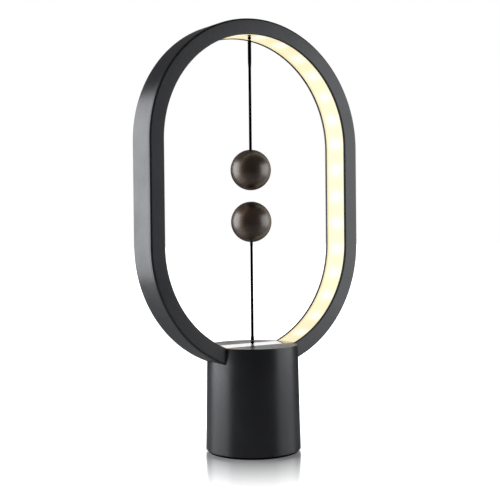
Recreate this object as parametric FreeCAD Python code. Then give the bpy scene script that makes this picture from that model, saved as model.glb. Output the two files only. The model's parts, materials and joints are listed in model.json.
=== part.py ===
import FreeCAD, Part
import math
import os
from FreeCAD import Vector

# Magnetic balance lamp, in millimetres. X runs across the ring, the front faces -Y,
# Z is up, and the foot stands on Z = 0 under the middle of the base.

# Ring: two half circles joined by straight sides, an open channel closed by a front cover
ring_top = 240.0
ring_bottom = 46.5
ring_radius = 69.0
ring_thickness = 8.0
ring_depth = 19.0
ring_wall = 1.8
front_flange = 1.7
back_flange = 1.3
ring_front_edge = 1.0
snap_rib_height = 1.1
snap_rib_depth = 1.5
diffuser_recess = 0.5
diffuser_wall = 1.3
diffuser_leg = 3.0
strip_width = 10.0
strip_thickness = 0.3
strip_gap = 10.0
chip_count = 34
chip_length = 3.5
chip_width = 2.8
chip_height = 0.8

# Base: a slightly tapered cup with a separate top, floor and foot
base_top = 59.5
base_top_radius = 25.25
base_foot_radius = 26.55
base_wall = 1.8
base_edge = 0.4
foot_height = 1.2
foot_radius = 24.2
foot_chamfer = 0.2
floor_thickness = 2.0
floor_radius = 24.6
cover_thickness = 2.0
cover_radius = 23.35
window_half_width = 7.4
window_rib_x = 9.0
window_rib_width = 2.0
window_rib_height = 1.5
window_rib_overhang = 1.5
chassis_bottom = 41.0
chassis_thickness = 2.0
chassis_radius = 23.2

# Weight, circuit board and power inlet
ballast_radius = 24.0
ballast_thickness = 6.0
board_bottom = 12.0
board_thickness = 1.6
board_radius = 20.5
board_tab_half_width = 6.0
board_tab_start = 10.0
board_tab_end = 23.6
socket_width = 8.94
socket_height = 3.16
socket_corner = 1.4
socket_wall = 0.3
socket_back = 16.8
socket_mouth = 23.9
tongue_root_depth = 1.4
tongue_root_corner = 1.0
tongue_width = 6.7
tongue_thickness = 0.7
tongue_setback = 0.8
inlet_width = 10.0
inlet_height = 4.2
inlet_corner = 1.9
driver_chip_length = 5.0
driver_chip_width = 4.0
driver_chip_height = 1.2
driver_chip_y = 8.0
inductor_side = 6.0
inductor_height = 3.0
inductor_corner = 1.2
inductor_place = (-7.0, -7.0)
# Each capacitor's x, y, radius and height
capacitors = ((9.0, -11.0, 3.0, 6.0), (0.5, -13.0, 2.5, 5.5), (12.5, 8.5, 2.0, 5.0))
capacitor_edge = 0.4

# Wires and their plugs on the board
wire_radius = 0.5
wire_clearance = 0.3
wire_half_spacing = 1.5
plug_length = 4.4
plug_width = 6.0
plug_height = 5.0
led_plug_x = 8.0
led_wire_x = 3.9
led_wire_turn = 5.0
led_wire_gather = 12.0
led_wire_top = 49.6
led_wire_reach = 1.9
switch_plug_x = -13.0
switch_wire_turn = 4.5
switch_wire_gather = 9.0
switch_wire_reach = 1.6
switch_wire_stagger = 1.0

# Balls, magnets and cords
ball_radius = 11.35
upper_ball_z = 157.3
lower_ball_z = 128.3
magnet_radius = 5.0
magnet_thickness = 5.0
magnet_inner_face = 3.7
magnet_clearance = 0.05
cap_gap = 0.05
cord_radius = 0.78
cord_hole_radius = 0.86
sleeve_radius = 0.98
upper_sleeve_length = 15.0
lower_sleeve_length = 2.4
knot_radius = 1.5
knot_length = 2.6
knot_edge = 0.5
knot_chamber_radius = 2.2
knot_chamber_floor = 2.5
bend_radius = 0.98
bend_gap = 0.15
upper_pivot_z = 230.9
lower_pivot_z = 60.6
anchor_radius = 0.95
anchor_drop = 0.55
anchor_head_radius = 2.2
anchor_head_height = 1.6

# Pull switch under the chassis
lever_pivot_x = -13.0
lever_pivot_z = 31.9
lever_thickness = 1.0
lever_half_width = 2.2
lever_tip_x = 2.5
lever_hub_radius = 1.3
lever_hub_half_length = 2.5
lever_hole_radius = 1.2
lever_pin_radius = 0.7
pin_radius = 1.0
pin_fit = 0.01
running_clearance = 0.05
bracket_left = -15.6
bracket_right = -3.2
bracket_plate = 1.2
bracket_inside = 3.0
bracket_web_half_width = 9.5
bracket_bottom = 29.6
switch_left = -15.6
switch_right = -2.8
switch_half_depth = 2.9
switch_bottom = 33.3
switch_top = 39.8
switch_pin_z = 38.0
switch_pin_x = (-12.6, -6.1)
button_x = -6.0
button_half_length = 0.9
button_half_width = 1.4
button_bottom = 32.45
button_top = 35.1
button_pocket_top = 36.3
button_clearance = 0.1
button_edge = 0.2
terminal_end = -18.6
terminal_width = 3.2
terminal_thickness = 0.5
terminal_z = (34.6, 37.8)
spring_radius = 1.7
spring_wire_radius = 0.2
spring_pitch = 1.5
bush_radius = 1.9
bush_bore_radius = 0.9
bush_head_radius = 2.4
bush_head_height = 0.8
crimp_radius = 1.3
crimp_length = 3.4
crimp_gap = 0.05
crimp_edge = 0.35
crimp_grip = 0.6

# Screws
screw_radius = 1.15
screw_pilot_radius = 1.2
screw_clearance_radius = 1.35
screw_head_radius = 2.0
screw_head_height = 1.4
screw_slot_width = 0.6
screw_slot_depth = 0.6
countersink_radius = 2.2
countersink_height = 1.1
boss_radius = 2.9
boss_clearance = 0.4
post_radius = 2.4
boss_circle = 22.0
boss_screw_circle = 21.2
floor_screw_angles = (30, 150, 270)
floor_boss_top = 13.0
floor_pilot_top = 11.0
floor_screw_tip = 10.0
chassis_screw_angles = (90, 210, 330)
chassis_boss_bottom = 32.5
chassis_pilot_bottom = 34.0
chassis_screw_tip = 35.0
ring_screw_x = 18.0
ring_screw_y = 5.3
ring_post_height = 12.0
ring_pilot_depth = 4.6
ring_screw_tip = 47.0
cover_screw_x = 12.0
cover_screw_y = 15.5
cover_pilot_depth = 6.0
cover_screw_tip = 48.0
bracket_screw_x = -9.0
bracket_screw_y = 7.0
bracket_screw_tip = 42.8
spacer_circle = 17.0
spacer_angles = (0, 120, 240)
spacer_across_flats = 4.0
spacer_stud_length = 3.5
spacer_hole_depth = 4.0
spacer_bore_floor = 0.4
board_screw_head_radius = 1.9
board_screw_gap = 0.6

# Room left between fixed parts, and how far a cutting tool runs past what it cuts
fit_gap = 0.1
overrun = 1.0
big = 200.0
tolerance = 0.01
wire_bend_share = 0.45

# Worked out from the dimensions above
arc_low_z = ring_bottom + ring_radius
arc_high_z = ring_top - ring_radius
ring_front = -ring_depth / 2
ring_back = ring_depth / 2
channel_front = ring_front + front_flange
channel_back = ring_back - back_flange
lip_radius = ring_radius - ring_thickness
wall_radius = ring_radius - ring_wall
diffuser_radius = lip_radius + diffuser_recess
strip_radius = wall_radius - strip_thickness
cover_bottom = base_top - cover_thickness
chassis_top = chassis_bottom + chassis_thickness
floor_top = foot_height + floor_thickness
ballast_top = floor_top + ballast_thickness
board_top = board_bottom + board_thickness
plug_top = board_top + plug_height
socket_z = board_top + socket_height / 2
base_taper = (base_foot_radius - base_top_radius) / (base_top - foot_height)
bush_hole_radius = bush_radius + fit_gap / 2
upper_cord_top = upper_pivot_z - bend_radius - bend_gap
lower_cord_bottom = lower_pivot_z + bend_radius + bend_gap
lever_bottom = lever_pivot_z - lever_thickness / 2
lever_top = lever_pivot_z + lever_thickness / 2
bracket_reach = bracket_inside + bracket_plate
crimp_top = lever_bottom - crimp_gap


def cylinder(radius, bottom, top, x=0.0, y=0.0):
    return Part.makeCylinder(radius, top - bottom, Vector(x, y, bottom))


def rod(radius, front, back, x, z):
    return Part.makeCylinder(radius, back - front, Vector(x, front, z), Vector(0, 1, 0))


def block(x0, x1, y0, y1, z0, z1):
    return Part.makeBox(x1 - x0, y1 - y0, z1 - z0, Vector(x0, y0, z0))


def fuse_all(shapes):
    return shapes[0].multiFuse(shapes[1:]).removeSplitter()


def cut_all(shape, tools):
    for tool in tools:
        shape = shape.cut(tool)
    return shape


def on_circle(radius, angles):
    turns = [math.radians(angle) for angle in angles]
    return [(radius * math.cos(turn), radius * math.sin(turn)) for turn in turns]


def four_corners(x, y):
    return [(sx * x, sy * y) for sx in (-1, 1) for sy in (-1, 1)]


def stadium(radius, front, back):
    """A slab with the ring's outline, its end arcs of the given radius."""
    right_low = Vector(radius, front, arc_low_z)
    right_high = Vector(radius, front, arc_high_z)
    left_high = Vector(-radius, front, arc_high_z)
    left_low = Vector(-radius, front, arc_low_z)
    top = Vector(0, front, arc_high_z + radius)
    bottom = Vector(0, front, arc_low_z - radius)
    edges = [
        Part.LineSegment(right_low, right_high).toShape(),
        Part.Arc(right_high, top, left_high).toShape(),
        Part.LineSegment(left_high, left_low).toShape(),
        Part.Arc(left_low, bottom, right_low).toShape(),
    ]
    return Part.Face(Part.Wire(edges)).extrude(Vector(0, back - front, 0))


def band(outer, inner, front, back):
    return stadium(outer, front, back).cut(stadium(inner, front, back))


def loop_point(radius, travel):
    """A point on the ring's loop and the outward angle there, from the lowest point towards +X."""
    quarter = math.pi / 2 * radius
    side = arc_high_z - arc_low_z
    if travel < quarter:
        angle = travel / radius - math.pi / 2
        return radius * math.cos(angle), arc_low_z + radius * math.sin(angle), angle
    if travel < quarter + side:
        return radius, arc_low_z + travel - quarter, 0.0
    angle = (travel - quarter - side) / radius
    return radius * math.cos(angle), arc_high_z + radius * math.sin(angle), angle


def rounded_bar(width, height, corner, front, back, z):
    bar = block(-width / 2, width / 2, front, back, z - height / 2, z + height / 2)
    long_edges = [edge for edge in bar.Edges if abs(edge.Length - (back - front)) < tolerance]
    return bar.makeFillet(corner, long_edges)


def arc_corner(before, corner, after):
    """The tangent arc that rounds a corner: its start, middle and end."""
    towards = (corner - before).normalize()
    away = (after - corner).normalize()
    half_turn = towards.getAngle(away) / 2
    shorter = min(corner.distanceToPoint(before), corner.distanceToPoint(after))
    trim = wire_bend_share * shorter
    radius = trim / math.tan(half_turn)
    centre = corner + (away - towards).normalize() * (radius / math.cos(half_turn))
    middle = centre + (corner - centre).normalize() * radius
    return corner - towards * trim, middle, corner + away * trim


def tube(points, radius):
    """A round wire along straight runs joined by tangent arcs."""
    corners = [Vector(*point) for point in points]
    edges = []
    start = corners[0]
    for before, corner, after in zip(corners, corners[1:], corners[2:]):
        arc_start, arc_middle, arc_end = arc_corner(before, corner, after)
        edges.append(Part.LineSegment(start, arc_start).toShape())
        edges.append(Part.Arc(arc_start, arc_middle, arc_end).toShape())
        start = arc_end
    edges.append(Part.LineSegment(start, corners[-1]).toShape())
    section = Part.Wire(Part.Circle(corners[0], corners[1] - corners[0], radius).toShape())
    return Part.Wire(edges).makePipeShell([section], True, False)


def pan_screw(x, y, seat, tip):
    """A slotted pan-head screw whose head sits at seat and whose shank ends at tip."""
    up = 1 if seat > tip else -1
    outer = seat + up * screw_head_height
    head = cylinder(screw_head_radius, min(seat, outer), max(seat, outer), x, y)
    shank = cylinder(screw_radius, min(seat, tip), max(seat, tip), x, y)
    slot_floor = outer - up * screw_slot_depth
    low, high = min(slot_floor, outer), max(slot_floor, outer)
    slot = block(x - big, x + big, y - screw_slot_width / 2, y + screw_slot_width / 2, low, high)
    return fuse_all([head.cut(slot), shank])


def outer_radius(z):
    return base_foot_radius - base_taper * (z - foot_height)


def base_cone(inset, bottom, top):
    return Part.makeCone(
        outer_radius(bottom) - inset, outer_radius(top) - inset, top - bottom, Vector(0, 0, bottom)
    )


# The base

def make_foot_pad():
    pad = cylinder(foot_radius, 0, foot_height)
    lowest = [edge for edge in pad.Edges if edge.BoundBox.ZMax < tolerance]
    return pad.makeChamfer(foot_chamfer, lowest)


def make_base_floor():
    floor = cylinder(floor_radius, foot_height, floor_top)
    for x, y in on_circle(boss_screw_circle, floor_screw_angles):
        floor = floor.cut(cylinder(screw_clearance_radius, foot_height, floor_top, x, y))
        recess = Part.makeCone(
            countersink_radius + fit_gap, screw_clearance_radius, countersink_height,
            Vector(x, y, foot_height),
        )
        floor = floor.cut(recess)
    return floor


def make_floor_screws():
    screws = []
    for x, y in on_circle(boss_screw_circle, floor_screw_angles):
        head = Part.makeCone(
            countersink_radius, screw_radius, countersink_height, Vector(x, y, foot_height)
        )
        shank = cylinder(screw_radius, foot_height + countersink_height, floor_screw_tip, x, y)
        screws.append(fuse_all([head, shank]))
    return screws


def make_base_shell():
    body = base_cone(0, foot_height, base_top)
    rims = [edge for edge in body.Edges if edge.Length > 100 and len(edge.Vertexes) == 1]
    top_rim = [edge for edge in rims if edge.BoundBox.ZMin > base_top - tolerance]
    low_rim = [edge for edge in rims if edge.BoundBox.ZMax < foot_height + tolerance]
    solid = body.makeFillet(base_edge, top_rim + low_rim)
    shell = solid.cut(base_cone(base_wall, foot_height, base_top))
    bosses = []
    for x, y in on_circle(boss_circle, floor_screw_angles):
        bosses.append(cylinder(boss_radius, floor_top, floor_boss_top, x, y))
    for x, y in on_circle(boss_circle, chassis_screw_angles):
        bosses.append(cylinder(boss_radius, chassis_boss_bottom, chassis_bottom, x, y))
    inside = base_cone(base_wall / 2, foot_height, base_top)
    shell = fuse_all([shell] + [boss.common(inside) for boss in bosses])
    holes = []
    for x, y in on_circle(boss_screw_circle, floor_screw_angles):
        holes.append(cylinder(screw_pilot_radius, floor_top, floor_pilot_top, x, y))
    for x, y in on_circle(boss_screw_circle, chassis_screw_angles):
        holes.append(cylinder(screw_pilot_radius, chassis_pilot_bottom, chassis_bottom, x, y))
    inlet_end = base_foot_radius + overrun
    holes.append(rounded_bar(inlet_width, inlet_height, inlet_corner, socket_mouth, inlet_end, socket_z))
    holes.append(stadium(ring_radius + fit_gap, ring_front - fit_gap, ring_back + fit_gap))
    return cut_all(shell, holes)


def make_top_cover():
    disc = cylinder(cover_radius, cover_bottom, base_top)
    slot_half = window_half_width + fit_gap / 2
    disc = disc.cut(block(-big, big, -slot_half, slot_half, cover_bottom, base_top))
    ring_room = band(ring_radius, lip_radius - fit_gap, ring_front - fit_gap, ring_back + fit_gap)
    disc = disc.cut(ring_room)
    pieces = [disc]
    rib_bottom = cover_bottom - window_rib_height
    rib_end = slot_half + window_rib_overhang
    for side in (-1, 1):
        x0 = side * window_rib_x - window_rib_width / 2
        pieces.append(block(x0, x0 + window_rib_width, -rib_end, rib_end, rib_bottom, cover_bottom))
    for x, y in four_corners(cover_screw_x, cover_screw_y):
        pieces.append(cylinder(post_radius, chassis_top, cover_bottom, x, y))
    cover = fuse_all(pieces)
    pilots = [
        cylinder(screw_pilot_radius, chassis_top, chassis_top + cover_pilot_depth, x, y)
        for x, y in four_corners(cover_screw_x, cover_screw_y)
    ]
    return cut_all(cover, pilots)


def make_top_window():
    strip = block(-big, big, -window_half_width, window_half_width, cover_bottom, base_top)
    strip = strip.common(stadium(diffuser_radius - fit_gap, ring_front, ring_back))
    strip = strip.cut(cylinder(bush_hole_radius, cover_bottom, base_top))
    head_room = bush_head_height + fit_gap / 2
    return strip.cut(cylinder(bush_head_radius + fit_gap / 2, base_top - head_room, base_top))


def make_cord_bush():
    barrel = cylinder(bush_radius, chassis_bottom, base_top)
    head = cylinder(bush_head_radius, base_top - bush_head_height, base_top)
    bore = cylinder(bush_bore_radius, chassis_bottom, base_top)
    return fuse_all([barrel, head]).cut(bore)


def make_chassis_plate():
    plate = cylinder(chassis_radius, chassis_bottom, chassis_top)
    holes = [cylinder(bush_hole_radius, chassis_bottom, chassis_top)]
    wire_hole_radius = wire_radius + wire_clearance
    clearance = four_corners(ring_screw_x, ring_screw_y)
    clearance += four_corners(cover_screw_x, cover_screw_y)
    clearance += on_circle(boss_screw_circle, chassis_screw_angles)
    for x, y in clearance:
        holes.append(cylinder(screw_clearance_radius, chassis_bottom, chassis_top, x, y))
    for side in (-1, 1):
        screw_y = side * bracket_screw_y
        wire_y = side * wire_half_spacing
        holes.append(cylinder(screw_pilot_radius, chassis_bottom, chassis_top, bracket_screw_x, screw_y))
        holes.append(cylinder(wire_hole_radius, chassis_bottom, chassis_top, led_wire_x, wire_y))
    return cut_all(plate, holes)


def make_chassis_screws():
    places = on_circle(boss_screw_circle, chassis_screw_angles)
    return [pan_screw(x, y, chassis_top, chassis_screw_tip) for x, y in places]


def make_ring_screws():
    places = four_corners(ring_screw_x, ring_screw_y)
    return [pan_screw(x, y, chassis_bottom, ring_screw_tip) for x, y in places]


def make_cover_screws():
    places = four_corners(cover_screw_x, cover_screw_y)
    return [pan_screw(x, y, chassis_bottom, cover_screw_tip) for x, y in places]


# Weight, board and inlet, low in the base

def make_ballast_plate():
    plate = cylinder(ballast_radius, floor_top, ballast_top)
    for x, y in on_circle(boss_circle, floor_screw_angles):
        plate = plate.cut(cylinder(boss_radius + boss_clearance, floor_top, ballast_top, x, y))
    for x, y in on_circle(spacer_circle, spacer_angles):
        hole_bottom = ballast_top - spacer_hole_depth
        plate = plate.cut(cylinder(screw_pilot_radius, hole_bottom, ballast_top, x, y))
    return plate


def make_board_spacers():
    spacers = []
    corner_radius = spacer_across_flats / math.sqrt(3)
    outline = on_circle(corner_radius, range(0, 361, 60))
    rise = Vector(0, 0, board_bottom - ballast_top)
    for x, y in on_circle(spacer_circle, spacer_angles):
        corners = [Vector(x + dx, y + dy, ballast_top) for dx, dy in outline]
        hexagon = Part.Face(Part.makePolygon(corners)).extrude(rise)
        stud = cylinder(screw_radius, ballast_top - spacer_stud_length, ballast_top, x, y)
        bore_floor = ballast_top + spacer_bore_floor
        bore = cylinder(pin_radius + running_clearance, bore_floor, board_bottom, x, y)
        spacers.append(fuse_all([hexagon, stud]).cut(bore))
    return spacers


def make_board_screws():
    screws = []
    slot_half = screw_slot_width / 2
    head_top = board_top + screw_head_height
    slot_floor = head_top - screw_slot_depth
    for x, y in on_circle(spacer_circle, spacer_angles):
        head = cylinder(board_screw_head_radius, board_top, head_top, x, y)
        shank = cylinder(pin_radius, ballast_top + board_screw_gap, board_top, x, y)
        slot = block(x - big, x + big, y - slot_half, y + slot_half, slot_floor, head_top)
        screws.append(fuse_all([head.cut(slot), shank]))
    return screws


def make_driver_board():
    disc = cylinder(board_radius, board_bottom, board_top)
    half = board_tab_half_width
    tab = block(-half, half, board_tab_start, board_tab_end, board_bottom, board_top)
    board = fuse_all([disc, tab])
    holes = [cylinder(boss_radius + boss_clearance, board_bottom, board_top, x, y)
             for x, y in on_circle(boss_circle, floor_screw_angles)]
    holes += [cylinder(screw_pilot_radius, board_bottom, board_top, x, y)
              for x, y in on_circle(spacer_circle, spacer_angles)]
    return cut_all(board, holes)


def make_usb_socket_shell():
    outside = rounded_bar(socket_width, socket_height, socket_corner, socket_back, socket_mouth, socket_z)
    width = socket_width - 2 * socket_wall
    height = socket_height - 2 * socket_wall
    corner = socket_corner - socket_wall
    back = socket_back + socket_wall
    return outside.cut(rounded_bar(width, height, corner, back, socket_mouth + overrun, socket_z))


def make_usb_socket_tongue():
    width = socket_width - 2 * socket_wall - fit_gap
    height = socket_height - 2 * socket_wall - fit_gap
    back = socket_back + socket_wall
    root = rounded_bar(width, height, tongue_root_corner, back, back + tongue_root_depth, socket_z)
    half_width = tongue_width / 2
    half_height = tongue_thickness / 2
    front = socket_mouth - tongue_setback
    tongue = block(-half_width, half_width, back, front, socket_z - half_height, socket_z + half_height)
    return fuse_all([root, tongue])


def make_driver_chip():
    half_length = driver_chip_length / 2
    half_width = driver_chip_width / 2
    front = driver_chip_y - half_width
    back = driver_chip_y + half_width
    return block(-half_length, half_length, front, back, board_top, board_top + driver_chip_height)


def make_power_inductor():
    half = inductor_side / 2
    x, y = inductor_place
    case = block(x - half, x + half, y - half, y + half, board_top, board_top + inductor_height)
    upright = [edge for edge in case.Edges if abs(edge.Length - inductor_height) < tolerance]
    return case.makeFillet(inductor_corner, upright)


def make_board_capacitors():
    cans = []
    for x, y, radius, height in capacitors:
        can_top = board_top + height
        can = cylinder(radius, board_top, can_top, x, y)
        top_edge = [edge for edge in can.Edges if edge.BoundBox.ZMin > can_top - tolerance]
        cans.append(can.makeFillet(capacitor_edge, top_edge))
    return cans


def make_plug(x):
    """A two-way wire plug standing on the board."""
    half_length = plug_length / 2
    half_width = plug_width / 2
    return block(x - half_length, x + half_length, -half_width, half_width, board_top, plug_top)


def make_led_wires():
    wires = []
    for side in (-1, 1):
        y = side * wire_half_spacing
        route = [
            (led_plug_x, y, plug_top),
            (led_plug_x, y, plug_top + led_wire_turn),
            (led_wire_x, y, plug_top + led_wire_gather),
            (led_wire_x, y, led_wire_top),
            (led_wire_x + led_wire_reach, y, led_wire_top),
        ]
        wires.append(tube(route, wire_radius))
    return wires


def make_switch_wires():
    wires = []
    for index, z in enumerate(terminal_z):
        y = wire_half_spacing * (2 * index - 1)
        reach = terminal_end - switch_wire_reach - switch_wire_stagger * index
        route = [
            (terminal_end, 0.0, z),
            (reach, 0.0, z),
            (reach, y, plug_top + switch_wire_gather),
            (switch_plug_x, y, plug_top + switch_wire_turn),
            (switch_plug_x, y, plug_top),
        ]
        wires.append(tube(route, wire_radius))
    return wires


# The ring and its light

def make_ring_channel():
    wall = band(ring_radius, wall_radius, channel_front, ring_back)
    flange = band(wall_radius, lip_radius, channel_back, ring_back)
    pieces = [wall, flange]
    outline = stadium(ring_radius - ring_wall / 2, ring_front, ring_back)
    for x, y in four_corners(ring_screw_x, ring_screw_y):
        post = cylinder(post_radius, chassis_top, chassis_top + ring_post_height, x, y)
        pieces.append(post.cut(outline))
    channel = fuse_all(pieces)
    low = ring_bottom - overrun
    high = ring_bottom + ring_thickness
    holes = [cylinder(bush_hole_radius, low, high)]
    for x, y in four_corners(ring_screw_x, ring_screw_y):
        holes.append(cylinder(screw_pilot_radius, chassis_top, chassis_top + ring_pilot_depth, x, y))
    for side in (-1, 1):
        y = side * wire_half_spacing
        holes.append(cylinder(wire_radius + wire_clearance, low, high, led_wire_x, y))
    return cut_all(channel, holes)


def make_ring_front_cover():
    slab = stadium(ring_radius, ring_front, channel_front)
    front_edges = [edge for edge in slab.Edges if edge.BoundBox.YMax < ring_front + tolerance]
    slab = slab.makeFillet(ring_front_edge, front_edges)
    face = slab.cut(stadium(lip_radius, ring_front, channel_front))
    rib_outer = wall_radius - fit_gap
    rib = band(rib_outer, rib_outer - snap_rib_height, channel_front, channel_front + snap_rib_depth)
    return fuse_all([face, rib])


def make_ring_diffuser():
    front = channel_front + fit_gap
    back = channel_back - fit_gap
    leg_radius = diffuser_radius + diffuser_wall + diffuser_leg
    trough = band(leg_radius, diffuser_radius, front, back)
    inside = diffuser_radius + diffuser_wall
    hollow = band(leg_radius + overrun, inside, front + diffuser_wall, back - diffuser_wall)
    bush_hole = cylinder(bush_hole_radius, ring_bottom, base_top)
    anchor_hole = cylinder(anchor_radius + fit_gap / 2, ring_top - 2 * ring_thickness, ring_top)
    return cut_all(trough, [hollow, bush_hole, anchor_hole])


def make_led_strip():
    strip = band(wall_radius, strip_radius, -strip_width / 2, strip_width / 2)
    return strip.cut(block(-strip_gap / 2, strip_gap / 2, -big, big, ring_bottom, base_top))


def make_led_chips():
    loop = 2 * math.pi * strip_radius + 2 * (arc_high_z - arc_low_z)
    half_width = chip_width / 2
    half_length = chip_length / 2
    sunk = half_length ** 2 / 2 / strip_radius
    chips = []
    for index in range(chip_count // 2):
        x, z, angle = loop_point(strip_radius, (index + 0.5) * loop / chip_count)
        chip = block(-chip_height - sunk, -sunk, -half_width, half_width, -half_length, half_length)
        chip.rotate(Vector(0, 0, 0), Vector(0, 1, 0), -math.degrees(angle))
        chip.translate(Vector(x, 0, z))
        chips.append(chip)
        chips.append(chip.mirror(Vector(0, 0, 0), Vector(1, 0, 0)))
    return chips


def make_upper_anchor():
    """The ferrule that holds the upper cord, its head resting on the back of the diffuser."""
    diffuser_top = arc_high_z + diffuser_radius + diffuser_wall
    stem = cylinder(anchor_radius, arc_high_z + diffuser_radius - anchor_drop, diffuser_top)
    head = cylinder(anchor_head_radius, diffuser_top, diffuser_top + anchor_head_height)
    return fuse_all([stem, head])


# Balls and cords

def turned(radius, z, towards_gap, near, far):
    """A cylinder on a ball's axis, measured from its centre towards the gap between the balls."""
    ends = sorted((z + towards_gap * near, z + towards_gap * far))
    return cylinder(radius, ends[0], ends[1])


def make_ball(z, towards_gap):
    """A ball bored for a magnet on the side that faces the other ball, and for its cord."""
    ball = Part.makeSphere(ball_radius, Vector(0, 0, z))
    past = ball_radius + overrun
    bore_radius = magnet_radius + magnet_clearance
    magnet_bore = turned(bore_radius, z, towards_gap, magnet_inner_face - cap_gap, past)
    chamber = turned(knot_chamber_radius, z, towards_gap, -knot_chamber_floor, magnet_inner_face)
    cord_hole = turned(cord_hole_radius, z, towards_gap, -past, 0.0)
    return cut_all(ball, [magnet_bore, chamber, cord_hole])


def make_magnet(z, towards_gap):
    far = magnet_inner_face + magnet_thickness
    return turned(magnet_radius, z, towards_gap, magnet_inner_face, far)


def make_ball_cap(z, towards_gap):
    near = magnet_inner_face + magnet_thickness + cap_gap
    plug = turned(magnet_radius, z, towards_gap, near, ball_radius)
    return plug.common(Part.makeSphere(ball_radius, Vector(0, 0, z)))


def make_knot(z, towards_gap):
    near = -knot_chamber_floor + cap_gap
    knot = turned(knot_radius, z, towards_gap, near, near + knot_length)
    rims = [edge for edge in knot.Edges if len(edge.Vertexes) == 1]
    return knot.makeFillet(knot_edge, rims)


def make_upper_cord():
    knot_face = upper_ball_z + knot_chamber_floor - cap_gap
    return cylinder(cord_radius, knot_face, upper_cord_top)


def make_lower_cord():
    knot_face = lower_ball_z - knot_chamber_floor + cap_gap
    return cylinder(cord_radius, lower_cord_bottom, knot_face)


def make_cord_sleeve(bottom, top):
    """The shrunk-on sleeve that saves the cord from wear where it bends."""
    return cylinder(sleeve_radius, bottom, top).cut(cylinder(cord_radius + pin_fit, bottom, top))


# The pull switch

def make_cord_tail():
    return cylinder(cord_radius, crimp_top - crimp_grip, lower_pivot_z - bend_radius - bend_gap)


def make_cord_crimp():
    body = cylinder(crimp_radius, crimp_top - crimp_length, crimp_top)
    rims = [edge for edge in body.Edges if len(edge.Vertexes) == 1]
    body = body.makeFillet(crimp_edge, rims)
    return body.cut(cylinder(cord_radius, crimp_top - crimp_grip, crimp_top))


def through_rod(radius, x, z):
    """A rod from one side of the bracket to the other."""
    return rod(radius, -bracket_reach, bracket_reach, x, z)


def make_switch_lever():
    half = lever_half_width
    arm = block(lever_pivot_x, lever_tip_x, -half, half, lever_bottom, lever_top)
    hub_end = lever_hub_half_length
    hub = rod(lever_hub_radius, -hub_end, hub_end, lever_pivot_x, lever_pivot_z)
    bore = through_rod(lever_pin_radius + running_clearance, lever_pivot_x, lever_pivot_z)
    cord_room = cylinder(lever_hole_radius, lever_bottom, lever_top)
    return cut_all(fuse_all([arm, hub]), [bore, cord_room])


def make_lever_pin():
    return through_rod(lever_pin_radius, lever_pivot_x, lever_pivot_z)


def make_switch_bracket():
    half = bracket_web_half_width
    pieces = [block(bracket_left, bracket_right, -half, half, switch_top, chassis_bottom)]
    for y in (-bracket_reach, bracket_inside):
        pieces.append(block(bracket_left, bracket_right, y, y + bracket_plate, bracket_bottom, switch_top))
    bracket = fuse_all(pieces)
    holes = [through_rod(lever_pin_radius + pin_fit, lever_pivot_x, lever_pivot_z)]
    holes += [through_rod(pin_radius + pin_fit, x, switch_pin_z) for x in switch_pin_x]
    for side in (-1, 1):
        y = side * bracket_screw_y
        holes.append(cylinder(screw_clearance_radius, switch_top, chassis_bottom, bracket_screw_x, y))
    return cut_all(bracket, holes)


def make_bracket_screws():
    places = [(bracket_screw_x, side * bracket_screw_y) for side in (-1, 1)]
    return [pan_screw(x, y, switch_top, bracket_screw_tip) for x, y in places]


def make_switch_pins():
    return [through_rod(pin_radius, x, switch_pin_z) for x in switch_pin_x]


def make_switch_case():
    half = switch_half_depth
    case = block(switch_left, switch_right, -half, half, switch_bottom, switch_top)
    holes = [through_rod(pin_radius + pin_fit, x, switch_pin_z) for x in switch_pin_x]
    half_length = button_half_length + button_clearance
    half_width = button_half_width + button_clearance
    holes.append(block(button_x - half_length, button_x + half_length, -half_width, half_width,
                       switch_bottom, button_pocket_top))
    return cut_all(case, holes)


def make_switch_button():
    button = block(button_x - button_half_length, button_x + button_half_length,
                   -button_half_width, button_half_width, button_bottom, button_top)
    low = [edge for edge in button.Edges if edge.BoundBox.ZMax < button_bottom + tolerance]
    return button.makeFillet(button_edge, low)


def make_switch_terminals():
    half_width = terminal_width / 2
    half = terminal_thickness / 2
    return [
        block(terminal_end, switch_left, -half_width, half_width, z - half, z + half)
        for z in terminal_z
    ]


def make_return_spring():
    bottom = lever_top + running_clearance + spring_wire_radius
    height = chassis_bottom - running_clearance - spring_wire_radius - bottom
    helix = Part.makeHelix(spring_pitch, height, spring_radius)
    section = Part.Wire(
        Part.Circle(Vector(spring_radius, 0, 0), Vector(0, 1, 0), spring_wire_radius).toShape()
    )
    spring = Part.Wire(helix).makePipeShell([section], True, True)
    spring.translate(Vector(0, 0, bottom))
    return spring


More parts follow.
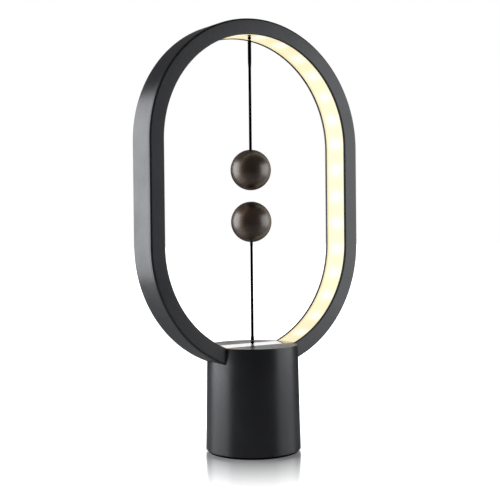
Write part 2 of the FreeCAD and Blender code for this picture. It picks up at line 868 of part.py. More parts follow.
nodes = {
    "foot_pad": make_foot_pad(),
    "base_floor": make_base_floor(),
    "floor_screws": make_floor_screws(),
    "base_shell": make_base_shell(),
    "top_cover": make_top_cover(),
    "cover_screws": make_cover_screws(),
    "top_window": make_top_window(),
    "cord_bush": make_cord_bush(),
    "chassis_plate": make_chassis_plate(),
    "chassis_screws": make_chassis_screws(),
    "ring_screws": make_ring_screws(),
    "ballast_plate": make_ballast_plate(),
    "board_spacers": make_board_spacers(),
    "board_screws": make_board_screws(),
    "driver_board": make_driver_board(),
    "usb_socket_shell": make_usb_socket_shell(),
    "usb_socket_tongue": make_usb_socket_tongue(),
    "driver_chip": make_driver_chip(),
    "power_inductor": make_power_inductor(),
    "board_capacitors": make_board_capacitors(),
    "led_plug": make_plug(led_plug_x),
    "switch_plug": make_plug(switch_plug_x),
    "led_wires": make_led_wires(),
    "switch_wires": make_switch_wires(),
    "ring_channel": make_ring_channel(),
    "ring_front_cover": make_ring_front_cover(),
    "ring_diffuser": make_ring_diffuser(),
    "led_strip": make_led_strip(),
    "led_chips": make_led_chips(),
    "upper_anchor": make_upper_anchor(),
    "upper_cord_bend": Part.makeSphere(bend_radius, Vector(0, 0, upper_pivot_z)),
    "upper_cord": make_upper_cord(),
    "upper_cord_sleeve": make_cord_sleeve(upper_cord_top - upper_sleeve_length, upper_cord_top),
    "upper_cord_knot": make_knot(upper_ball_z, -1),
    "upper_ball": make_ball(upper_ball_z, -1),
    "upper_magnet": make_magnet(upper_ball_z, -1),
    "upper_ball_cap": make_ball_cap(upper_ball_z, -1),
    "lower_cord_bend": Part.makeSphere(bend_radius, Vector(0, 0, lower_pivot_z)),
    "lower_cord": make_lower_cord(),
    "lower_cord_sleeve": make_cord_sleeve(lower_cord_bottom, lower_cord_bottom + lower_sleeve_length),
    "lower_cord_knot": make_knot(lower_ball_z, 1),
    "lower_ball": make_ball(lower_ball_z, 1),
    "lower_magnet": make_magnet(lower_ball_z, 1),
    "lower_ball_cap": make_ball_cap(lower_ball_z, 1),
    "lower_cord_tail": make_cord_tail(),
    "cord_crimp": make_cord_crimp(),
    "switch_lever": make_switch_lever(),
    "lever_pin": make_lever_pin(),
    "switch_bracket": make_switch_bracket(),
    "bracket_screws": make_bracket_screws(),
    "switch_pins": make_switch_pins(),
    "microswitch_case": make_switch_case(),
    "microswitch_button": make_switch_button(),
    "switch_terminals": make_switch_terminals(),
    "return_spring": make_return_spring(),
}

os.makedirs("parts", exist_ok=True)
for name, piece in nodes.items():
    shape = Part.makeCompound(piece) if isinstance(piece, list) else piece
    for solid in shape.Solids:
        if not solid.isValid() or solid.Volume <= 0:
            raise ValueError(name + " isn't a sound solid")
    shape.exportStep("parts/" + name + ".step")
    print(name, len(shape.Solids), "solids", round(shape.Volume, 2), "mm3")
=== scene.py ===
import json
import math

import bmesh
import bpy
from mathutils import Matrix, Vector


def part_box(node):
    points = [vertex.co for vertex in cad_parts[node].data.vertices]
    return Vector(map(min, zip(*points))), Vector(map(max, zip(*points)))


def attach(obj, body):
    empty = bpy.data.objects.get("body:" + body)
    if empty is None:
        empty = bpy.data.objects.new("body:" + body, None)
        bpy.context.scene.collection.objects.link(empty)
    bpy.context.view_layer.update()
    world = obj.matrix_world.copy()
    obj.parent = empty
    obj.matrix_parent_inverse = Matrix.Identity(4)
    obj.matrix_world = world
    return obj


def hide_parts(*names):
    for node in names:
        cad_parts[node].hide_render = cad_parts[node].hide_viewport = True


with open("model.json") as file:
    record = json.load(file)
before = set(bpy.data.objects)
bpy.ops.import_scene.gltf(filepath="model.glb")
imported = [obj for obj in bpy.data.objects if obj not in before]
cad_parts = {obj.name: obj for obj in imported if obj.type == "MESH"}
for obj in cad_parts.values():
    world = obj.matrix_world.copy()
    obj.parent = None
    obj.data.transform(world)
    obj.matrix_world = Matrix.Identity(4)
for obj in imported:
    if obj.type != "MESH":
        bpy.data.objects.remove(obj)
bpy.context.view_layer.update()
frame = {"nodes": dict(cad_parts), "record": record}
print("frame loaded with", len(frame["nodes"]), "nodes")

mm = 0.001
slack = 0.02      # mm by which joined solids overlap, and a face may lie off its place
cutPast = 1.0     # mm by which a cutting tool runs past what it cuts
edgeBow = 0.3     # how far in a rounded edge's middle lies, as a share of its radius
scene = bpy.context.scene

cameraView = {
    "place": (-319.6, -471.4, 121.56),  # mm, from the middle of the foot
    "turn": 34.05,                      # degrees to the right of straight back
    "tilt": -0.91,
    "roll": -0.59,
    "lens": 73.15,
    "sensor": 36.0,
}


def addObject(name, data):
    thing = bpy.data.objects.new(name, data)
    scene.collection.objects.link(thing)
    return thing


def makeCamera(view):
    data = bpy.data.cameras.new("camera")
    data.lens = view["lens"]
    data.sensor_width = view["sensor"]
    camera = addObject("camera", data)
    turn = Matrix.Rotation(-math.radians(view["turn"]), 4, "Z")
    tilt = Matrix.Rotation(math.radians(90 + view["tilt"]), 4, "X")
    roll = Matrix.Rotation(math.radians(view["roll"]), 4, "Z")
    camera.matrix_world = Matrix.Translation(Vector(view["place"]) * mm) @ turn @ tilt @ roll
    scene.camera = camera


makeCamera(cameraView)
print("camera placed")


def meshFrom(name, points, faces):
    mesh = bpy.data.meshes.new(name)
    mesh.from_pydata([Vector(point) * mm for point in points], [], faces)
    return mesh


def faceOutwards(mesh):
    work = bmesh.new()
    work.from_mesh(mesh)
    bmesh.ops.recalc_face_normals(work, faces=work.faces)
    work.to_mesh(mesh)
    work.free()


def bakeModifiers(piece):
    # the evaluated mesh becomes the piece's own, and the modifiers go
    bpy.context.view_layer.update()
    graph = bpy.context.evaluated_depsgraph_get()
    made = bpy.data.meshes.new_from_object(
        piece.evaluated_get(graph), preserve_all_data_layers=True, depsgraph=graph
    )
    piece.modifiers.clear()
    old = piece.data
    piece.data = made
    bpy.data.meshes.remove(old)


def carve(piece, tools, operation="DIFFERENCE"):
    for tool in tools:
        modifier = piece.modifiers.new("carve", "BOOLEAN")
        modifier.operation = operation
        modifier.solver = "EXACT"
        modifier.object = tool
    bakeModifiers(piece)
    for tool in tools:
        bpy.data.objects.remove(tool)


def roundCorners(corners, steps=4, hold=0.06):
    # each corner is (across, along, radius), and a round one becomes a short arc
    # with a point just past each end, so that the faces beside it shade flat
    outline = []
    for index, (across, along, radius) in enumerate(corners):
        here = Vector((across, along))
        if radius <= 0:
            outline.append(here)
            continue
        before = Vector(corners[index - 1][:2])
        after = Vector(corners[(index + 1) % len(corners)][:2])
        back = (before - here).normalized()
        ahead = (after - here).normalized()
        half = back.angle(ahead) / 2
        centre = here + (back + ahead).normalized() * (radius / math.sin(half))
        start = here + back * (radius / math.tan(half)) - centre
        end = here + ahead * (radius / math.tan(half)) - centre
        outline.append(centre + start + back * hold)
        for step in range(steps + 1):
            outline.append(centre + start.lerp(end, step / steps).normalized() * radius)
        outline.append(centre + end + ahead * hold)
    return [tuple(point) for point in outline]


def rimEdge(radius, height, edge, way):
    # a small rounding from a side wall to the flat face above it, or below it with way -1
    bow = edgeBow * edge
    middle = (radius - bow, height - way * bow)
    return [(radius, height - way * edge), middle, (radius - edge, height)]


def latheMesh(name, outline, turns, closed=True, centre=(0.0, 0.0)):
    # outline points are (radius, height) in mm, and a radius of 0 is a pole
    points, rings, faces = [], [], []
    for radius, height in outline:
        if radius < 1e-6:
            rings.append([len(points)] * turns)
            points.append((*centre, height))
            continue
        rings.append(list(range(len(points), len(points) + turns)))
        for turn in range(turns):
            angle = 2 * math.pi * turn / turns
            x, y = radius * math.cos(angle), radius * math.sin(angle)
            points.append((centre[0] + x, centre[1] + y, height))
    pairs = list(zip(rings, rings[1:]))
    if closed:
        pairs.append((rings[-1], rings[0]))
    for lower, upper in pairs:
        for turn in range(turns):
            after = (turn + 1) % turns
            face = []
            for corner in (lower[turn], lower[after], upper[after], upper[turn]):
                if corner not in face:
                    face.append(corner)
            if len(face) > 2:
                faces.append(face)
    mesh = meshFrom(name, points, faces)
    faceOutwards(mesh)
    return mesh


def rodTool(radius, low, high, x, y, turns=48):
    outline = [(0, low), (radius, low), (radius, high), (0, high)]
    return addObject("tool", latheMesh("tool", outline, turns, closed=False, centre=(x, y)))


def prismTool(outline, front, back, name="tool"):
    # outline is (x, z) points in mm, drawn out from front to back along Y
    count = len(outline)
    points = [(x, front, z) for x, z in outline] + [(x, back, z) for x, z in outline]
    faces = [list(range(count)), list(range(count, 2 * count))]
    for index in range(count):
        after = (index + 1) % count
        faces.append([index, after, after + count, index + count])
    mesh = meshFrom(name, points, faces)
    faceOutwards(mesh)
    return addObject(name, mesh)


def blockTool(x0, x1, y0, y1, z0, z1):
    return prismTool([(x0, z0), (x1, z0), (x1, z1), (x0, z1)], y0, y1)


def settle(piece, body, slot, *nodes, sharpAngle=32):
    # finish, place in the frame and stand for its nodes
    if piece.type == "MESH":
        piece.data.shade_smooth()
        piece.data.set_sharp_from_angle(angle=math.radians(sharpAngle))
    piece.data.materials.clear()
    piece.data.materials.append(finishes[slot])
    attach(piece, body)
    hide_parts(*nodes)


def feed(tree, sockets, values):
    # each value is set on its socket, or linked to it
    for key, value in values.items():
        socket = sockets[key]
        if isinstance(value, bpy.types.NodeSocket):
            tree.links.new(value, socket)
        elif socket.type == "RGBA":
            socket.default_value = (*value, 1.0)
        else:
            socket.default_value = value


def addNode(tree, kind, inputs=None, prefix="ShaderNode", **settings):
    node = tree.nodes.new(prefix + kind)
    for key, value in settings.items():
        setattr(node, key, value)
    feed(tree, node.inputs, inputs or {})
    return node


def arithmetic(tree, operation, first, second=0.0):
    return addNode(tree, "Math", {0: first, 1: second}, operation=operation).outputs[0]


def rescale(tree, value, fromLow, fromHigh, toLow, toHigh):
    ends = {"From Min": fromLow, "From Max": fromHigh, "To Min": toLow, "To Max": toHigh}
    return addNode(tree, "MapRange", {"Value": value, **ends}).outputs[0]


def spread(tree, noise, low, high):
    # most of a noise texture lies between 0.3 and 0.7
    return rescale(tree, noise, 0.3, 0.7, low, high)


def mixColour(tree, share, first, second):
    return addNode(tree, "Mix", {0: share, 6: first, 7: second}, data_type="RGBA").outputs[2]


def bumpFrom(tree, height, strength, depth=0.03):
    inputs = {"Height": height, "Strength": strength, "Distance": depth * mm}
    return addNode(tree, "Bump", inputs).outputs[0]


def noiseOn(tree, place, scale, detail, roughness=0.5, distortion=0.0):
    inputs = {"Vector": place, "Scale": scale, "Detail": detail, "Roughness": roughness,
              "Distortion": distortion}
    return addNode(tree, "TexNoise", inputs).outputs[0]


def along(tree, place, way):
    inputs = {0: place, 1: way}
    return addNode(tree, "VectorMath", inputs, operation="DOT_PRODUCT").outputs["Value"]


def axesOf(tree, place):
    return addNode(tree, "SeparateXYZ", {0: place}).outputs


def objectPlace(tree, stretch=None, turn=(0.0, 0.0, 0.0)):
    place = tree.nodes.new("ShaderNodeTexCoord").outputs["Object"]
    if stretch is None:
        return place
    inputs = {"Vector": place, "Scale": stretch, "Rotation": turn}
    return addNode(tree, "Mapping", inputs).outputs[0]


def newMaterial(name, fixed):
    # fixed values sit on the shader's own sockets
    material = bpy.data.materials.new(name)
    material.use_nodes = True
    tree = material.node_tree
    shader = tree.nodes["Principled BSDF"].inputs
    feed(tree, shader, fixed)
    return material, tree, shader


def addSocket(tree, way, label, kind):
    return tree.interface.new_socket(name=label, in_out=way, socket_type="NodeSocket" + kind)


def newGroup(name, numbers, results):
    # takes a vector and some numbers with their usual values, and gives numbers
    group = bpy.data.node_groups.new(name, "ShaderNodeTree")
    addSocket(group, "INPUT", "Vector", "Vector")
    for label, value in numbers.items():
        addSocket(group, "INPUT", label, "Float").default_value = value
    for label in results:
        addSocket(group, "OUTPUT", label, "Float")
    given = group.nodes.new("NodeGroupInput").outputs
    return group, given, group.nodes.new("NodeGroupOutput").inputs


def useGroup(tree, group, inputs):
    return addNode(tree, "Group", inputs, node_tree=group).outputs


def makeMouldGrain():
    # fine grain of a moulded or sprayed face, with a slow drift of tone
    numbers = {"Grain Scale": 2600.0, "Drift Scale": 60.0}
    group, given, out = newGroup("mouldGrain", numbers, ("Height", "Drift", "Fleck"))
    place = given["Vector"]
    fine = noiseOn(group, place, given["Grain Scale"], 3.0)
    drift = noiseOn(group, place, given["Drift Scale"], 4.0, roughness=0.55, distortion=0.4)
    cells = addNode(group, "TexVoronoi", {"Vector": place, "Scale": given["Grain Scale"]})
    fleck = rescale(group, cells.outputs["Distance"], 0.0, 0.12, 1.0, 0.0)
    feed(group, out, {"Height": fine, "Drift": drift, "Fleck": fleck})
    return group


def makeEdgeWearAndHighlight():
    # up to 1 along sharp outer edges, broken up so that it doesn't run as a line; it lightens them
    # both as wear and as a painted highlight
    group, given, out = newGroup("edgeWearAndHighlight", {"Break Up": 300.0, "Amount": 0.5}, ("WearAndHighlight",))
    corners = addNode(group, "NewGeometry").outputs["Pointiness"]
    noise = noiseOn(group, given["Vector"], given["Break Up"], 5.0)
    sharp = rescale(group, corners, 0.515, 0.60, 0.0, 1.0)
    broken = rescale(group, noise, 0.40, 0.62, 0.25, 1.0)
    wear = arithmetic(group, "MULTIPLY", sharp, broken)
    feed(group, out, {"WearAndHighlight": arithmetic(group, "MULTIPLY", wear, given["Amount"])})
    return group


def makeBrushedLines():
    # long fine scratches along the stretched direction of the vector
    group, given, out = newGroup("brushedLines", {"Scale": 900.0}, ("Height", "Streak"))
    place = given["Vector"]
    lines = noiseOn(group, place, given["Scale"], 6.0, roughness=0.7)
    cloud = noiseOn(group, place, 120.0, 2.0)
    streak = arithmetic(group, "MULTIPLY", lines, cloud)
    feed(group, out, {"Height": lines, "Streak": arithmetic(group, "MULTIPLY", streak, 2.0)})
    return group


mouldGrain = makeMouldGrain()
edgeWearAndHighlight = makeEdgeWearAndHighlight()
brushedLines = makeBrushedLines()


def grainOn(tree, place, grainScale, driftScale):
    inputs = {"Vector": place, "Grain Scale": grainScale, "Drift Scale": driftScale}
    return useGroup(tree, mouldGrain, inputs)


def paintedBandGlow(tree, place, paintedSpill):
    # painted glow of the lit band's warm light on a face below it, the same towards both of its
    # feet
    across = arithmetic(tree, "ABSOLUTE", axesOf(tree, place)["X"])
    near = rescale(tree, across, paintedSpill["from"] * mm, paintedSpill["to"] * mm, 0.0, 1.0)
    near = arithmetic(tree, "POWER", near, paintedSpill["falloff"])
    return mixColour(tree, near, (0.0, 0.0, 0.0), paintedSpill["colour"])


def mouldedPlastic(look):
    material, tree, shader = newMaterial(look["name"], look["fixed"])
    place = objectPlace(tree)
    grain = grainOn(tree, place, look["grainScale"], look["driftScale"])
    # sharp edges turn paler, partly as wear and partly as a painted highlight along them
    wear = useGroup(tree, edgeWearAndHighlight, {"Vector": place, "Amount": look["wear"]})["WearAndHighlight"]
    drift = spread(tree, grain["Drift"], 0.0, 1.0)
    colour = mixColour(tree, drift, look["dark"], look["light"])
    roughness = spread(tree, grain["Drift"], *look["roughness"])
    if "lipRoughness" in look:
        lip = addNode(tree, "Attribute", attribute_name="lipSide").outputs["Fac"]
        roughness = rescale(tree, lip, 0.0, 1.0, roughness, look["lipRoughness"])
    # the emission here is painted light from the lit band
    if "paintedSpill" in look:
        feed(tree, shader, {"Emission Color": paintedBandGlow(tree, place, look["paintedSpill"])})
    feed(tree, shader, {
        "Base Color": mixColour(tree, wear, colour, look["wornAndHighlight"]),
        "Roughness": roughness,
        "Normal": bumpFrom(tree, grain["Height"], look["relief"], 0.04),
    })
    return material


def platedMetal(look):
    material, tree, shader = newMaterial(look["name"], {"Metallic": 1.0})
    place = objectPlace(tree, look["stretch"])
    lines = useGroup(tree, brushedLines, {"Vector": place, "Scale": look["scale"]})
    feed(tree, shader, {
        "Base Color": mixColour(tree, lines["Streak"], look["dark"], look["light"]),
        "Roughness": spread(tree, lines["Height"], *look["roughness"]),
        "Normal": bumpFrom(tree, lines["Height"], look["relief"]),
    })
    return material


plastics = {
    "shell_black": {
        "name": "satinBlackShell",
        "dark": (0.0048, 0.0051, 0.0068), "light": (0.0076, 0.008, 0.0104),
        "wornAndHighlight": (0.045, 0.045, 0.048), "wear": 0.5,
        "roughness": (0.28, 0.36), "grainScale": 1500.0, "driftScale": 55.0, "relief": 0.35,
        "lipRoughness": 0.85,   # on the front lip's inner side
        "fixed": {"Specular IOR Level": 0.5},
    },
    "cover_grey": {
        "name": "satinGreyCover",
        "dark": (0.016, 0.016, 0.017), "light": (0.024, 0.024, 0.025),
        "wornAndHighlight": (0.06, 0.06, 0.06), "wear": 0.3,
        "roughness": (0.35, 0.42), "grainScale": 1800.0, "driftScale": 70.0, "relief": 0.02,
        # painted warm light from the lit band near the cover's two ends
        "paintedSpill": {"colour": (0.22, 0.145, 0.10), "from": 5.0, "to": 22.0, "falloff": 2.5},
        "fixed": {"Specular IOR Level": 0.24, "Emission Strength": 1.0},
    },
    "bush_black": {
        "name": "dullBlackBush",
        "dark": (0.0010, 0.0010, 0.0010), "light": (0.0024, 0.0024, 0.0024),
        "wornAndHighlight": (0.02, 0.02, 0.02), "wear": 0.3,
        "roughness": (0.42, 0.55), "grainScale": 3800.0, "driftScale": 300.0, "relief": 0.08,
        "fixed": {"Specular IOR Level": 0.0},
    },
    "chassis_black": {
        "name": "glassFilledNylon",
        "dark": (0.02, 0.02, 0.02), "light": (0.04, 0.04, 0.04),
        "wornAndHighlight": (0.10, 0.10, 0.10), "wear": 0.3,
        "roughness": (0.5, 0.7), "grainScale": 1200.0, "driftScale": 220.0, "relief": 0.3,
        "fixed": {"Specular IOR Level": 0.4},
    },
    "socket_core": {
        "name": "mouldedBlackCore",
        "dark": (0.010, 0.010, 0.010), "light": (0.022, 0.022, 0.022),
        "wornAndHighlight": (0.06, 0.06, 0.06), "wear": 0.2,
        "roughness": (0.4, 0.55), "grainScale": 3000.0, "driftScale": 400.0, "relief": 0.15,
        "fixed": {"Specular IOR Level": 0.45},
    },
    "plug_white": {
        "name": "naturalNylonPlug",
        "dark": (0.66, 0.64, 0.58), "light": (0.78, 0.77, 0.72),
        "wornAndHighlight": (0.85, 0.85, 0.82), "wear": 0.2,
        "roughness": (0.45, 0.6), "grainScale": 2600.0, "driftScale": 300.0, "relief": 0.12,
        "fixed": {"Subsurface Weight": 0.08},
    },
    "wire_sleeve": {
        "name": "redWireSleeve",
        "dark": (0.30, 0.02, 0.015), "light": (0.42, 0.035, 0.025),
        "wornAndHighlight": (0.5, 0.08, 0.06), "wear": 0.1,
        "roughness": (0.38, 0.5), "grainScale": 4000.0, "driftScale": 260.0, "relief": 0.1,
        "fixed": {"Specular IOR Level": 0.5},
    },
    "strip_white": {
        "name": "whiteFlexStrip",
        "dark": (0.74, 0.74, 0.70), "light": (0.86, 0.86, 0.83),
        "wornAndHighlight": (0.9, 0.9, 0.88), "wear": 0.1,
        "roughness": (0.4, 0.55), "grainScale": 2000.0, "driftScale": 180.0, "relief": 0.08,
        "fixed": {"Specular IOR Level": 0.5},
    },
    "button_red": {
        "name": "redSwitchButton",
        "dark": (0.38, 0.03, 0.025), "light": (0.52, 0.05, 0.04),
        "wornAndHighlight": (0.6, 0.12, 0.1), "wear": 0.3,
        "roughness": (0.3, 0.45), "grainScale": 3000.0, "driftScale": 500.0, "relief": 0.1,
        "fixed": {"Specular IOR Level": 0.5},
    },
    "foot_rubber": {
        "name": "siliconeFoot",
        "dark": (0.0008, 0.0008, 0.0008), "light": (0.0022, 0.0022, 0.0022),
        "wornAndHighlight": (0.01, 0.01, 0.01), "wear": 0.2,
        "roughness": (0.62, 0.8), "grainScale": 1500.0, "driftScale": 120.0, "relief": 0.35,
        "fixed": {"Specular IOR Level": 0.05},
    },
}
metals = {
    "steel_bright": {
        "name": "platedSteel", "dark": (0.42, 0.42, 0.43), "light": (0.66, 0.66, 0.67),
        "stretch": (1.0, 12.0, 12.0), "scale": 500.0, "roughness": (0.25, 0.42), "relief": 0.15,
    },
    "steel_screws": {
        "name": "zincScrews", "dark": (0.34, 0.34, 0.35), "light": (0.52, 0.52, 0.53),
        "stretch": (1.0, 1.0, 5.0), "scale": 1400.0, "roughness": (0.28, 0.5), "relief": 0.2,
    },
    "steel_weight": {
        "name": "rawSteelWeight", "dark": (0.22, 0.22, 0.23), "light": (0.38, 0.37, 0.36),
        "stretch": (14.0, 1.0, 1.0), "scale": 260.0, "roughness": (0.38, 0.6), "relief": 0.3,
    },
    "brass_parts": {
        "name": "turnedBrass", "dark": (0.52, 0.38, 0.16), "light": (0.74, 0.58, 0.28),
        "stretch": (1.0, 1.0, 18.0), "scale": 700.0, "roughness": (0.22, 0.36), "relief": 0.12,
    },
    "magnet_nickel": {
        "name": "nickelMagnet", "dark": (0.58, 0.57, 0.55), "light": (0.74, 0.73, 0.71),
        "stretch": None, "scale": 900.0, "roughness": (0.12, 0.24), "relief": 0.05,
    },
    "capacitor_can": {
        "name": "capacitorCan", "dark": (0.55, 0.56, 0.58), "light": (0.70, 0.71, 0.73),
        "stretch": (1.0, 1.0, 16.0), "scale": 600.0, "roughness": (0.25, 0.4), "relief": 0.1,
    },
}
finishes = {slot: mouldedPlastic(look) for slot, look in plastics.items()}
finishes.update({slot: platedMetal(look) for slot, look in metals.items()})

boardGreen = {
    "mask": (0.012, 0.10, 0.035), "mask2": (0.016, 0.13, 0.045), "copper": (0.05, 0.22, 0.08),
    "trackScale": 420.0, "fixed": {"Coat Weight": 0.4},
}


def makeBoardGreen(look):
    material, tree, shader = newMaterial("boardGreen", look["fixed"])
    place = objectPlace(tree)
    tracks = addNode(tree, "TexBrick", {
        "Vector": place, "Scale": look["trackScale"], "Mortar Size": 0.05,
        "Color1": look["mask"], "Color2": look["mask2"], "Mortar": look["copper"],
    }).outputs
    drift = grainOn(tree, place, 1500.0, 200.0)["Drift"]
    feed(tree, shader, {
        "Base Color": mixColour(tree, drift, tracks[0], look["mask"]),
        "Roughness": spread(tree, drift, 0.3, 0.45),
        "Normal": bumpFrom(tree, tracks["Fac"], 0.2),
    })
    return material


ballWood = {
    "dark": (0.0025, 0.0014, 0.0009), "light": (0.040, 0.017, 0.007),
    "patch": (0.011, 0.0050, 0.0026), "ringScale": 95.0, "poreScale": 900.0,
    "stretch": (1.0, 1.0, 0.22), "turn": (0.5, 0.35, 0.0),
    "fixed": {"Coat Weight": 0.9, "Coat Roughness": 0.32, "Coat IOR": 1.7,
              "Specular IOR Level": 0.3, "Specular Tint": (1.0, 0.55, 0.3)},
}


def makeBallWood(look):
    # dark stain over close grain, under a thin satin lacquer
    material, tree, shader = newMaterial("stainedBallWood", look["fixed"])
    place = objectPlace(tree, look["stretch"], look["turn"])
    rings = addNode(tree, "TexWave", {
        "Vector": place, "Scale": look["ringScale"], "Distortion": 5.0, "Detail": 3.0,
        "Detail Scale": 1.4,
    }, wave_type="RINGS", rings_direction="X").outputs[1]
    pores = noiseOn(tree, place, look["poreScale"], 6.0, roughness=0.65)
    drift = grainOn(tree, place, 900.0, 110.0)["Drift"]
    rings = rescale(tree, rings, 0.1, 0.9, 0.0, 0.65)
    tone = arithmetic(tree, "ADD", rings, rescale(tree, pores, 0.35, 0.7, 0.0, 0.5))
    colour = mixColour(tree, tone, look["dark"], look["light"])
    patch = rescale(tree, drift, 0.35, 0.7, 0.0, 0.6)
    feed(tree, shader, {
        "Base Color": mixColour(tree, patch, colour, look["patch"]),
        "Roughness": spread(tree, pores, 0.42, 0.52),
        "Normal": bumpFrom(tree, tone, 0.25, 0.04),
    })
    return material


cordBraid = {
    "dark": (0.0006, 0.0006, 0.0006), "light": (0.0013, 0.00125, 0.0012),
    "climb": 14000.0, "strands": 6.0, "relief": 0.6, "fixed": {"Specular IOR Level": 0.0},
}


def makeCordBraid(look):
    # two sets of strands that cross as they wind round the cord
    material, tree, shader = newMaterial("blackBraid", look["fixed"])
    place = objectPlace(tree)
    axes = axesOf(tree, place)
    around = arithmetic(tree, "ARCTAN2", axes["Y"], axes["X"])
    climb = arithmetic(tree, "MULTIPLY", axes["Z"], look["climb"])
    turns = arithmetic(tree, "MULTIPLY", around, look["strands"])
    rising = arithmetic(tree, "SINE", arithmetic(tree, "ADD", climb, turns))
    falling = arithmetic(tree, "SINE", arithmetic(tree, "SUBTRACT", climb, turns))
    weave = arithmetic(tree, "MAXIMUM", rising, falling)
    strand = rescale(tree, weave, -0.4, 1.0, 0.0, 1.0)
    fuzz = grainOn(tree, place, 9000.0, 400.0)["Height"]
    fibre = arithmetic(tree, "MULTIPLY", strand, rescale(tree, fuzz, 0.2, 0.8, 0.6, 1.0))
    feed(tree, shader, {
        "Base Color": mixColour(tree, fibre, look["dark"], look["light"]),
        "Roughness": rescale(tree, fuzz, 0.2, 0.8, 0.6, 0.85),
        "Normal": bumpFrom(tree, fibre, look["relief"], 0.08),
    })
    return material


litMilky = {
    "between": (0.78, 0.70, 0.44), "overChip": (0.90, 0.89, 0.84), "edge": (0.74, 0.62, 0.36),
    "milk": (0.27, 0.24, 0.17), "milk2": (0.31, 0.28, 0.21),
    "spotTightness": 2.0,
    "spotWidth": (0.5, 9.5),    # mm to each side of the middle line, where a spot fades
    "edgeFade": (4.0, 7.9), "edgeShare": 0.35,
    "fixed": {"Emission Strength": 1.0, "Specular IOR Level": 0.5},
}


def makeLitMilky(look):
    # milky plastic over a row of chips, whiter and brighter over each one
    material, tree, shader = newMaterial("litMilkyBand", look["fixed"])
    place = objectPlace(tree)
    across = arithmetic(tree, "ABSOLUTE", axesOf(tree, place)["Y"])
    spot = addNode(tree, "Attribute", attribute_name="litSpot").outputs["Fac"]
    spot = rescale(tree, spot, -1.0, 1.0, 0.0, 1.0)
    spot = arithmetic(tree, "POWER", spot, look["spotTightness"])
    near, far = look["spotWidth"]
    hot = arithmetic(tree, "MULTIPLY", spot, rescale(tree, across, near * mm, far * mm, 1.0, 0.0))
    near, far = look["edgeFade"]
    edge = rescale(tree, across, near * mm, far * mm, 0.0, look["edgeShare"])
    glow = mixColour(tree, hot, look["between"], look["overChip"])
    grain = grainOn(tree, place, 2200.0, 90.0)
    feed(tree, shader, {
        "Base Color": mixColour(tree, grain["Drift"], look["milk"], look["milk2"]),
        "Emission Color": mixColour(tree, edge, glow, look["edge"]),
        "Roughness": spread(tree, grain["Drift"], 0.42, 0.55),
        "Normal": bumpFrom(tree, grain["Height"], 0.05),
    })
    return material


windowMilky = {
    "milk": (0.22, 0.22, 0.215), "milk2": (0.28, 0.28, 0.27),
    "glow": (0.01, 0.01, 0.009), "glow2": (0.02, 0.02, 0.018),
    "fixed": {"Emission Strength": 1.0, "Specular IOR Level": 0.75},
}


def makeWindowMilky(look):
    material, tree, shader = newMaterial("milkyWindow", look["fixed"])
    grain = grainOn(tree, objectPlace(tree), 2200.0, 120.0)
    feed(tree, shader, {
        "Base Color": mixColour(tree, grain["Drift"], look["milk"], look["milk2"]),
        # the emission is a painted glow of the ring's light from inside the base
        "Emission Color": mixColour(tree, grain["Drift"], look["glow"], look["glow2"]),
        "Roughness": spread(tree, grain["Drift"], 0.06, 0.12),
        "Normal": bumpFrom(tree, grain["Height"], 0.02),
    })
    return material


chipYellow = {
    "gel": (0.85, 0.62, 0.12), "gel2": (0.9, 0.72, 0.22), "glow": (1.0, 0.88, 0.6),
    "fixed": {"Emission Strength": 3.0},
}


def makeChipYellow(look):
    material, tree, shader = newMaterial("phosphorChip", look["fixed"])
    grain = grainOn(tree, objectPlace(tree), 4000.0, 900.0)
    feed(tree, shader, {
        "Base Color": mixColour(tree, grain["Drift"], look["gel"], look["gel2"]),
        "Emission Color": mixColour(tree, grain["Fleck"], look["glow"], look["gel"]),
        "Roughness": spread(tree, grain["Height"], 0.3, 0.5),
    })
    return material


finishes["board_green"] = makeBoardGreen(boardGreen)
finishes["ball_wood"] = makeBallWood(ballWood)
finishes["cord_braid"] = makeCordBraid(cordBraid)
finishes["light_milky"] = makeLitMilky(litMilky)
finishes["window_milky"] = makeWindowMilky(windowMilky)
finishes["chip_yellow"] = makeChipYellow(chipYellow)


def dressFrameNodes():
    for part in frame["record"]["subparts"]:
        node = frame["nodes"][part["node"]]
        if not node.material_slots:
            node.data.materials.append(None)
        for slot in node.material_slots:
            slot.material = finishes[part["material_slot"]]


dressFrameNodes()
print("finishes made:", len(finishes))

cords = {
    "diameter": 1.56,
    "upper": {"route": [(0, 0, 229.77), (0, 0, 220.4), (0, 0, 169.1), (0, 0, 159.75)],
              "exit": (0, 0, 230.9), "length": 70.02},
    "lower": {"route": [(0, 0, 61.73), (0, 0, 71.1), (0, 0, 116.5), (0, 0, 125.85)],
              "exit": (0, 0, 60.6), "length": 64.12},
}


def makeCord(name, side, body, node):
    route, exitPoint, length = (cords[side][key] for key in ("route", "exit", "length"))
    curve = bpy.data.curves.new(name, "CURVE")
    curve.dimensions = "3D"
    curve.bevel_depth = cords["diameter"] / 2 * mm
    curve.bevel_resolution = 5
    curve.resolution_u = 16
    curve.use_fill_caps = True
    spline = curve.splines.new("NURBS")
    spline.points.add(len(route) - 1)
    for point, place in zip(spline.points, route):
        point.co = (*(Vector(place) * mm), 1.0)
    spline.order_u = 3
    spline.use_endpoint_u = True
    piece = addObject(name, curve)
    settle(piece, body, "cord_braid", node)


makeCord("upperCord", "upper", "upper_ball_set", "upper_cord")
makeCord("lowerCord", "lower", "lower_cord_run", "lower_cord")
print("cords made")

ring = {
    "radius": 69.0,       # outer radius of both end arcs
    "lowArc": 115.5,      # heights of the two arcs' centres
    "highArc": 171.0,
    "steps": 480,         # sections round the loop
    "arcSteps": 90,       # points on each quarter of its path
    "cornerSteps": 4,
    "holeDepth": 4.0,     # how far the tools go in through the outer wall
}
